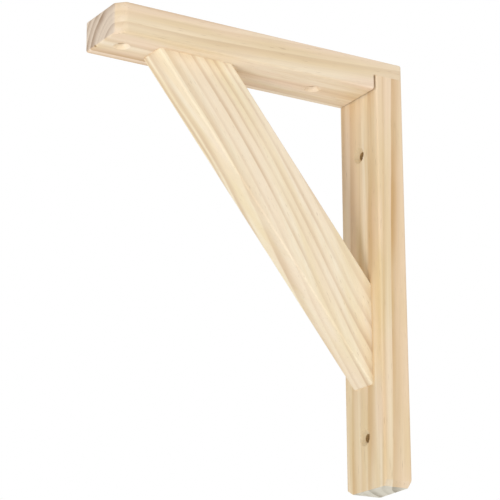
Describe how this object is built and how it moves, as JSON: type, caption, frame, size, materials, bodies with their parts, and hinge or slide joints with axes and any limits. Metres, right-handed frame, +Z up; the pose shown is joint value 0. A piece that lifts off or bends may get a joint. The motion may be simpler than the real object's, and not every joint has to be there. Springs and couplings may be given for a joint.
{
  "type": "timber shelf bracket",
  "caption": "Planed pine shelf bracket: an arm and an upright at a right angle, held by a sloping brace set on edge between them.",
  "frame": {"origin": "on the upright's back face, on its middle line, halfway between the two wall screw holes", "axes": "+Y into the wall, +Z up along the upright, the arm reaches out along -Y"},
  "size_m": [0.045, 0.225, 0.3],
  "materials": {
    "pine_arm": "bare planed softwood, pale cream, dry and nearly matt",
    "pine_upright": "bare planed softwood with straight tan bands along it, dry and nearly matt",
    "pine_brace": "bare planed softwood with slanting pale brown ring lines, dry and nearly matt"
  },
  "bodies": {
    "root": {"arm": "pine_arm", "upright": "pine_upright", "brace": "pine_brace"}
  },
  "joints": []
}
